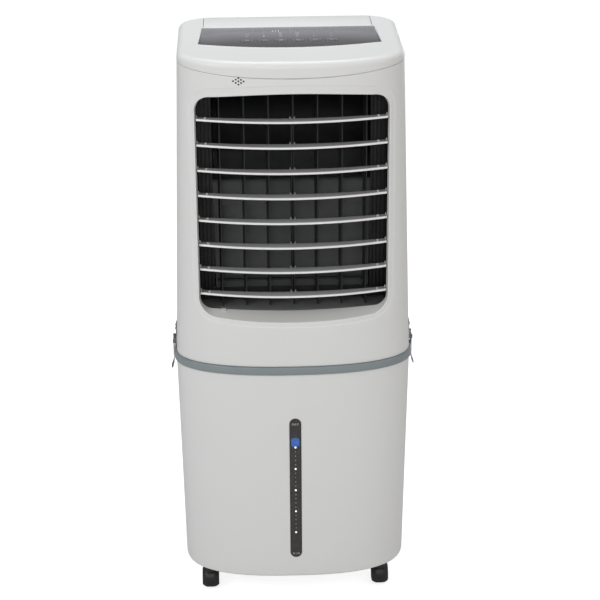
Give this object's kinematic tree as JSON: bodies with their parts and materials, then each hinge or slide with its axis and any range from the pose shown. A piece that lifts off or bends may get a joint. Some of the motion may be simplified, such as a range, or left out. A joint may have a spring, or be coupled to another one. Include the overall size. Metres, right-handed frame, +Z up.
{
  "type": "evaporative cooler",
  "caption": "Portable tower evaporative cooler: tapered water tank on casters, clipped-on housing with a louvred outlet, blower, wetted pad and control panel.",
  "frame": {"origin": "on the floor, under the middle of the overall width and depth", "axes": "+Z up, the air outlet faces -Y, +X is to the right of someone looking at the outlet"},
  "size_m": [0.4768, 0.378, 1.124],
  "materials": {
    "white_gloss": "gloss white moulded ABS",
    "grey_blue": "satin grey-blue seal band",
    "smoked": "dark smoked gloss plastic",
    "blue_float": "blue float",
    "rubber": "black rubber or soft plastic",
    "silver_grey": "silver-grey paint on plastic, pale front edge",
    "black_plastic": "black moulded plastic",
    "dark_duct": "dark grey duct plastic",
    "steel": "bright spring steel",
    "motor_metal": "plain metal can",
    "pad_cellulose": "brown honeycomb paper",
    "clear_hose": "translucent hose",
    "board": "green circuit board"
  },
  "bodies": {
    "cabinet": {"blower_housing": "dark_duct", "blower_motor": "motor_metal", "clip_bracket_left": "steel", "clip_bracket_right": "steel", "clip_pin_left": "steel", "clip_pin_right": "steel", "control_board": "board", "control_panel": "smoked", "cooling_pad": "pad_cellulose", "fill_hopper": "white_gloss", "front_panel": "white_gloss", "level_window": "smoked", "outlet_frame": "black_plastic", "power_cord": "rubber", "pump_hose": "clear_hose", "rear_housing": "white_gloss", "swing_motor": "motor_metal", "top_cover": "white_gloss", "waist_band": "grey_blue", "water_distributor": "white_gloss", "water_pump": "black_plastic", "water_tank": "white_gloss"},
    "key_1": {"key_1": "smoked"},
    "key_2": {"key_2": "smoked"},
    "key_3": {"key_3": "smoked"},
    "key_4": {"key_4": "smoked"},
    "key_5": {"key_5": "smoked"},
    "key_6": {"key_6": "smoked"},
    "top_lid": {"top_lid": "white_gloss"},
    "louvre_1": {"louvre_1": "silver_grey"},
    "louvre_2": {"louvre_2": "silver_grey"},
    "louvre_3": {"louvre_3": "silver_grey"},
    "louvre_4": {"louvre_4": "silver_grey"},
    "louvre_5": {"louvre_5": "silver_grey"},
    "louvre_6": {"louvre_6": "silver_grey"},
    "louvre_7": {"louvre_7": "silver_grey"},
    "louvre_8": {"louvre_8": "silver_grey"},
    "louvre_link_rod": {"louvre_link_rod": "black_plastic"},
    "vane_1": {"vane_1": "black_plastic"},
    "vane_2": {"vane_2": "black_plastic"},
    "vane_3": {"vane_3": "black_plastic"},
    "vane_4": {"vane_4": "black_plastic"},
    "vane_5": {"vane_5": "black_plastic"},
    "vane_6": {"vane_6": "black_plastic"},
    "vane_7": {"vane_7": "black_plastic"},
    "vane_link_bar": {"vane_link_bar": "black_plastic"},
    "blower_wheel": {"blower_wheel": "black_plastic"},
    "level_float": {"level_float": "blue_float"},
    "drain_plug": {"drain_plug": "rubber"},
    "rear_grille": {"rear_grille": "white_gloss"},
    "side_clip_left": {"side_clip_left": "steel"},
    "side_clip_right": {"side_clip_right": "steel"},
    "caster_swivel_front_left": {"caster_hood_front_left": "black_plastic"},
    "caster_wheels_front_left": {"caster_wheels_front_left": "rubber"},
    "caster_swivel_front_right": {"caster_hood_front_right": "black_plastic"},
    "caster_wheels_front_right": {"caster_wheels_front_right": "rubber"},
    "caster_swivel_rear_left": {"caster_hood_rear_left": "black_plastic"},
    "caster_wheels_rear_left": {"caster_wheels_rear_left": "rubber"},
    "caster_swivel_rear_right": {"caster_hood_rear_right": "black_plastic"},
    "caster_wheels_rear_right": {"caster_wheels_rear_right": "rubber"}
  },
  "joints": [
    {"name": "key_1_press", "type": "slide", "parent": "cabinet", "child": "key_1", "axis": [0, 0, -1], "range_m": [0, 0.001], "stiffness_N_per_m": 600},
    {"name": "key_2_press", "type": "slide", "parent": "cabinet", "child": "key_2", "axis": [0, 0, -1], "range_m": [0, 0.001], "stiffness_N_per_m": 600},
    {"name": "key_3_press", "type": "slide", "parent": "cabinet", "child": "key_3", "axis": [0, 0, -1], "range_m": [0, 0.001], "stiffness_N_per_m": 600},
    {"name": "key_4_press", "type": "slide", "parent": "cabinet", "child": "key_4", "axis": [0, 0, -1], "range_m": [0, 0.001], "stiffness_N_per_m": 600},
    {"name": "key_5_press", "type": "slide", "parent": "cabinet", "child": "key_5", "axis": [0, 0, -1], "range_m": [0, 0.001], "stiffness_N_per_m": 600},
    {"name": "key_6_press", "type": "slide", "parent": "cabinet", "child": "key_6", "axis": [0, 0, -1], "range_m": [0, 0.001], "stiffness_N_per_m": 600},
    {"name": "top_lid_hinge", "type": "hinge", "parent": "cabinet", "child": "top_lid", "pos_m": [0, 0.155, 1.1208], "axis": [-1, 0, 0], "range_deg": [0, 95]},
    {"name": "louvre_1_tilt", "type": "hinge", "parent": "cabinet", "child": "louvre_1", "pos_m": [0, -0.1265, 1.0065], "axis": [1, 0, 0], "range_deg": [-30, 35]},
    {"name": "louvre_2_tilt", "type": "hinge", "parent": "cabinet", "child": "louvre_2", "pos_m": [0, -0.1265, 0.95746], "axis": [1, 0, 0], "range_deg": [-30, 35]},
    {"name": "louvre_3_tilt", "type": "hinge", "parent": "cabinet", "child": "louvre_3", "pos_m": [0, -0.1265, 0.90842], "axis": [1, 0, 0], "range_deg": [-30, 35]},
    {"name": "louvre_4_tilt", "type": "hinge", "parent": "cabinet", "child": "louvre_4", "pos_m": [0, -0.1265, 0.85938], "axis": [1, 0, 0], "range_deg": [-30, 35]},
    {"name": "louvre_5_tilt", "type": "hinge", "parent": "cabinet", "child": "louvre_5", "pos_m": [0, -0.1265, 0.81034], "axis": [1, 0, 0], "range_deg": [-30, 35]},
    {"name": "louvre_6_tilt", "type": "hinge", "parent": "cabinet", "child": "louvre_6", "pos_m": [0, -0.1265, 0.7613], "axis": [1, 0, 0], "range_deg": [-30, 35]},
    {"name": "louvre_7_tilt", "type": "hinge", "parent": "cabinet", "child": "louvre_7", "pos_m": [0, -0.1265, 0.71226], "axis": [1, 0, 0], "range_deg": [-30, 35]},
    {"name": "louvre_8_tilt", "type": "hinge", "parent": "cabinet", "child": "louvre_8", "pos_m": [0, -0.1265, 0.66322], "axis": [1, 0, 0], "range_deg": [-30, 35]},
    {"name": "louvre_link_rod_pin", "type": "hinge", "parent": "louvre_1", "child": "louvre_link_rod", "pos_m": [0, -0.138, 1.0065], "axis": [1, 0, 0], "range_deg": [-35, 30]},
    {"name": "vane_1_swing", "type": "hinge", "parent": "cabinet", "child": "vane_1", "pos_m": [-0.1374, -0.091, 0.84], "axis": [0, 0, 1], "range_deg": [-45, 30]},
    {"name": "vane_2_swing", "type": "hinge", "parent": "cabinet", "child": "vane_2", "pos_m": [-0.0916, -0.091, 0.84], "axis": [0, 0, 1], "range_deg": [-45, 30]},
    {"name": "vane_3_swing", "type": "hinge", "parent": "cabinet", "child": "vane_3", "pos_m": [-0.0458, -0.091, 0.84], "axis": [0, 0, 1], "range_deg": [-45, 30]},
    {"name": "vane_4_swing", "type": "hinge", "parent": "cabinet", "child": "vane_4", "pos_m": [0, -0.091, 0.84], "axis": [0, 0, 1], "range_deg": [-45, 30]},
    {"name": "vane_5_swing", "type": "hinge", "parent": "cabinet", "child": "vane_5", "pos_m": [0.0458, -0.091, 0.84], "axis": [0, 0, 1], "range_deg": [-45, 30]},
    {"name": "vane_6_swing", "type": "hinge", "parent": "cabinet", "child": "vane_6", "pos_m": [0.0916, -0.091, 0.84], "axis": [0, 0, 1], "range_deg": [-45, 30]},
    {"name": "vane_7_swing", "type": "hinge", "parent": "cabinet", "child": "vane_7", "pos_m": [0.1374, -0.091, 0.84], "axis": [0, 0, 1], "range_deg": [-45, 30]},
    {"name": "vane_link_bar_pin", "type": "hinge", "parent": "vane_4", "child": "vane_link_bar", "pos_m": [-0.00223, -0.07516, 0.664], "axis": [0, 0, 1], "range_deg": [-30, 45]},
    {"name": "blower_wheel_spin", "type": "hinge", "parent": "cabinet", "child": "blower_wheel", "pos_m": [0, 0.027, 0.722], "axis": [1, 0, 0], "continuous": true},
    {"name": "level_float_rise", "type": "slide", "parent": "cabinet", "child": "level_float", "axis": [0, 0, 1], "range_m": [-0.22, 0.036]},
    {"name": "drain_plug_pull", "type": "slide", "parent": "cabinet", "child": "drain_plug", "axis": [0, 1, 0], "range_m": [0, 0.02]},
    {"name": "rear_grille_pull", "type": "slide", "parent": "cabinet", "child": "rear_grille", "axis": [0, 1, 0], "range_m": [0, 0.03]},
    {"name": "side_clip_left_hinge", "type": "hinge", "parent": "cabinet", "child": "side_clip_left", "pos_m": [-0.2322, -0.063, 0.537], "axis": [0, 1, 0], "range_deg": [0, 90]},
    {"name": "side_clip_right_hinge", "type": "hinge", "parent": "cabinet", "child": "side_clip_right", "pos_m": [0.2322, -0.063, 0.537], "axis": [0, -1, 0], "range_deg": [0, 90]},
    {"name": "caster_swivel_front_left_turn", "type": "hinge", "parent": "cabinet", "child": "caster_swivel_front_left", "pos_m": [-0.173, -0.115, 0.05], "axis": [0, 0, 1], "continuous": true},
    {"name": "caster_wheels_front_left_roll", "type": "hinge", "parent": "caster_swivel_front_left", "child": "caster_wheels_front_left", "pos_m": [-0.173, -0.103, 0.02], "axis": [1, 0, 0], "continuous": true},
    {"name": "caster_swivel_front_right_turn", "type": "hinge", "parent": "cabinet", "child": "caster_swivel_front_right", "pos_m": [0.173, -0.115, 0.05], "axis": [0, 0, 1], "continuous": true},
    {"name": "caster_wheels_front_right_roll", "type": "hinge", "parent": "caster_swivel_front_right", "child": "caster_wheels_front_right", "pos_m": [0.173, -0.103, 0.02], "axis": [1, 0, 0], "continuous": true},
    {"name": "caster_swivel_rear_left_turn", "type": "hinge", "parent": "cabinet", "child": "caster_swivel_rear_left", "pos_m": [-0.173, 0.097, 0.05], "axis": [0, 0, 1], "continuous": true},
    {"name": "caster_wheels_rear_left_roll", "type": "hinge", "parent": "caster_swivel_rear_left", "child": "caster_wheels_rear_left", "pos_m": [-0.173, 0.109, 0.02], "axis": [1, 0, 0], "continuous": true},
    {"name": "caster_swivel_rear_right_turn", "type": "hinge", "parent": "cabinet", "child": "caster_swivel_rear_right", "pos_m": [0.173, 0.097, 0.05], "axis": [0, 0, 1], "continuous": true},
    {"name": "caster_wheels_rear_right_roll", "type": "hinge", "parent": "caster_swivel_rear_right", "child": "caster_wheels_rear_right", "pos_m": [0.173, 0.109, 0.02], "axis": [1, 0, 0], "continuous": true}
  ],
  "couplings": [
    {"joint": "louvre_2_tilt", "follows": "louvre_1_tilt", "ratio": 1},
    {"joint": "louvre_3_tilt", "follows": "louvre_1_tilt", "ratio": 1},
    {"joint": "louvre_4_tilt", "follows": "louvre_1_tilt", "ratio": 1},
    {"joint": "louvre_5_tilt", "follows": "louvre_1_tilt", "ratio": 1},
    {"joint": "louvre_6_tilt", "follows": "louvre_1_tilt", "ratio": 1},
    {"joint": "louvre_7_tilt", "follows": "louvre_1_tilt", "ratio": 1},
    {"joint": "louvre_8_tilt", "follows": "louvre_1_tilt", "ratio": 1},
    {"joint": "louvre_link_rod_pin", "follows": "louvre_1_tilt", "ratio": -1},
    {"joint": "vane_1_swing", "follows": "vane_4_swing", "ratio": 1},
    {"joint": "vane_2_swing", "follows": "vane_4_swing", "ratio": 1},
    {"joint": "vane_3_swing", "follows": "vane_4_swing", "ratio": 1},
    {"joint": "vane_5_swing", "follows": "vane_4_swing", "ratio": 1},
    {"joint": "vane_6_swing", "follows": "vane_4_swing", "ratio": 1},
    {"joint": "vane_7_swing", "follows": "vane_4_swing", "ratio": 1},
    {"joint": "vane_link_bar_pin", "follows": "vane_4_swing", "ratio": -1}
  ]
}
